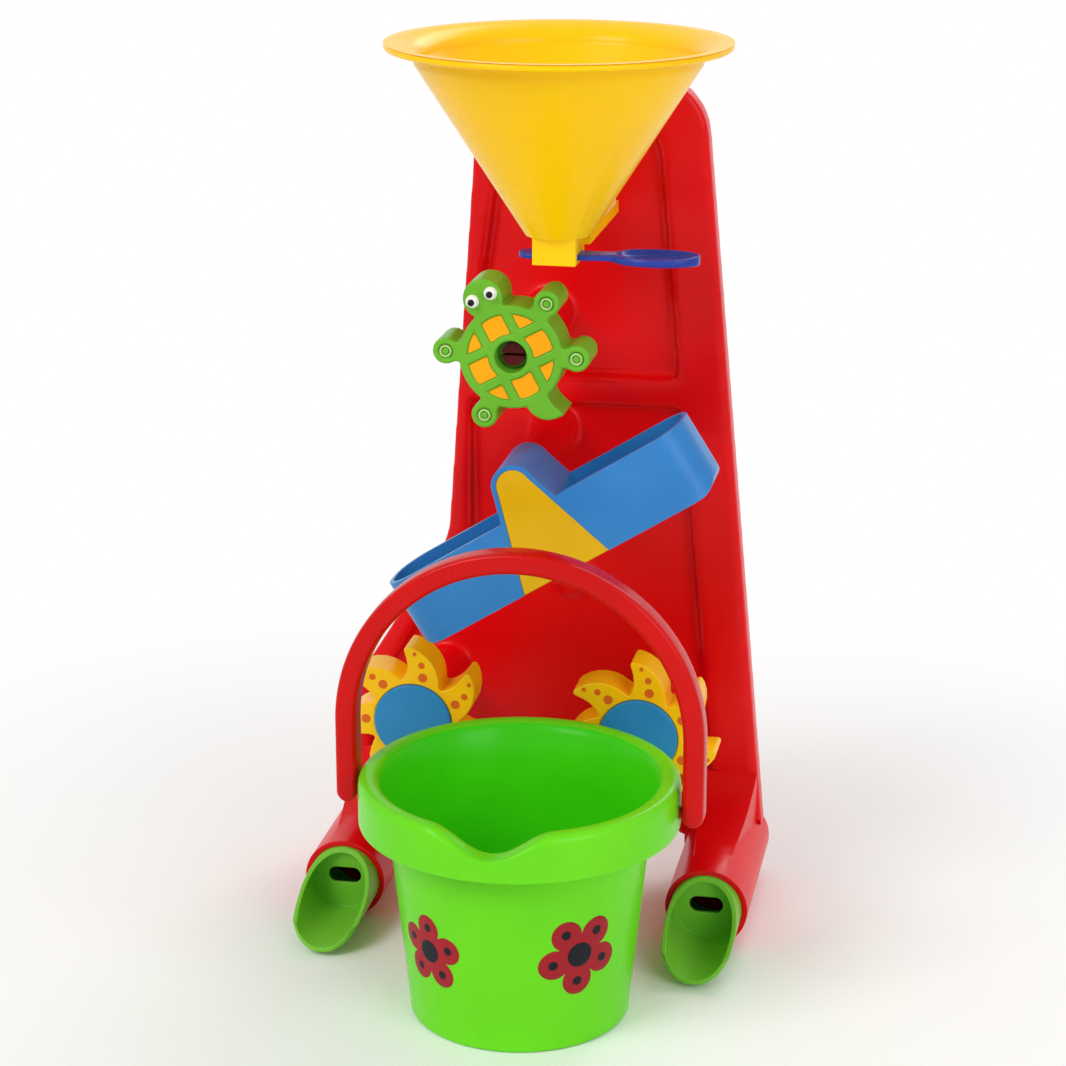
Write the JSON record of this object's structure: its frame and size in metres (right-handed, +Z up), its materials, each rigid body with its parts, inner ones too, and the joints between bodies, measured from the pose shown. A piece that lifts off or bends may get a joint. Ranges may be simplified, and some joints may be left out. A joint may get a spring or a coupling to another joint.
{
  "type": "sand wheel toy",
  "caption": "Tower sand toy: a hopper with a sliding gate feeds a turtle wheel, a tipping two-ended trough and star wheels; scoop spouts and a pail with a bail.",
  "frame": {"origin": "middle of the whole object's box, on the ground", "axes": "+Z up, -Y towards the front of the toy, +X to its right as seen from the front"},
  "size_m": [0.231, 0.2586, 0.457],
  "materials": {
    "red": "moulded, glossy",
    "spout_green": "moulded, glossy",
    "hopper_yellow": "moulded, glossy",
    "gate_blue": "moulded, glossy",
    "turtle_green": "moulded, glossy",
    "pad_orange": "moulded, glossy",
    "eye_white": "moulded, glossy",
    "pupil_black": "moulded, glossy",
    "rocker_blue": "moulded, glossy",
    "wedge_yellow": "moulded, glossy",
    "star_yellow": "moulded, glossy",
    "spot_orange": "moulded, glossy",
    "cap_blue": "moulded, glossy",
    "pail_green": "moulded, glossy"
  },
  "bodies": {
    "stand": {"board": "red", "left_foot": "red", "right_foot": "red", "left_foot_plug": "red", "right_foot_plug": "red", "turtle_axle": "red", "rocker_axle": "red", "left_star_axle": "red", "right_star_axle": "red"},
    "hopper": {"funnel": "hopper_yellow"},
    "gate": {"gate": "gate_blue"},
    "turtle": {"turtle_wheel": "turtle_green", "turtle_pads": "pad_orange", "turtle_eyes": "eye_white", "turtle_pupils": "pupil_black"},
    "rocker": {"rocker": "rocker_blue", "rocker_wedge": "wedge_yellow"},
    "star_left": {"left_star": "star_yellow", "left_star_spots": "spot_orange", "left_star_cap": "cap_blue"},
    "star_right": {"right_star": "star_yellow", "right_star_spots": "spot_orange", "right_star_cap": "cap_blue"},
    "spout_left": {"left_spout": "spout_green"},
    "spout_right": {"right_spout": "spout_green"},
    "pail": {"bucket": "pail_green"},
    "bail": {"bucket_handle": "red"}
  },
  "joints": [
    {"name": "hopper_lift", "type": "slide", "parent": "stand", "child": "hopper", "axis": [0, 0, 1], "range_m": [0, 0.0148]},
    {"name": "gate_slide", "type": "slide", "parent": "hopper", "child": "gate", "axis": [1, 0, 0], "range_m": [0, 0.028]},
    {"name": "turtle_spin", "type": "hinge", "parent": "stand", "child": "turtle", "pos_m": [-0.003, 0.02325, 0.307], "axis": [0, 1, 0], "continuous": true},
    {"name": "rocker_tilt", "type": "hinge", "parent": "stand", "child": "rocker", "pos_m": [0, 0.02325, 0.245], "axis": [0, -1, 0], "range_deg": [-64, 0]},
    {"name": "star_left_spin", "type": "hinge", "parent": "stand", "child": "star_left", "pos_m": [-0.058, 0.04025, 0.109], "axis": [0, 1, 0], "continuous": true},
    {"name": "star_right_spin", "type": "hinge", "parent": "stand", "child": "star_right", "pos_m": [0.058, 0.04025, 0.109], "axis": [0, 1, 0], "continuous": true},
    {"name": "spout_left_pull", "type": "slide", "parent": "stand", "child": "spout_left", "axis": [0, -1, 0], "range_m": [0, 0.06]},
    {"name": "spout_right_pull", "type": "slide", "parent": "stand", "child": "spout_right", "axis": [0, -1, 0], "range_m": [0, 0.06]},
    {"name": "pail_pull", "type": "slide", "parent": "stand", "child": "pail", "axis": [0, -1, 0], "range_m": [0, 0.1]},
    {"name": "bail_swing", "type": "hinge", "parent": "pail", "child": "bail", "pos_m": [0.014, -0.05225, 0.106], "axis": [1, 0, 0], "range_deg": [-15, 100]}
  ]
}
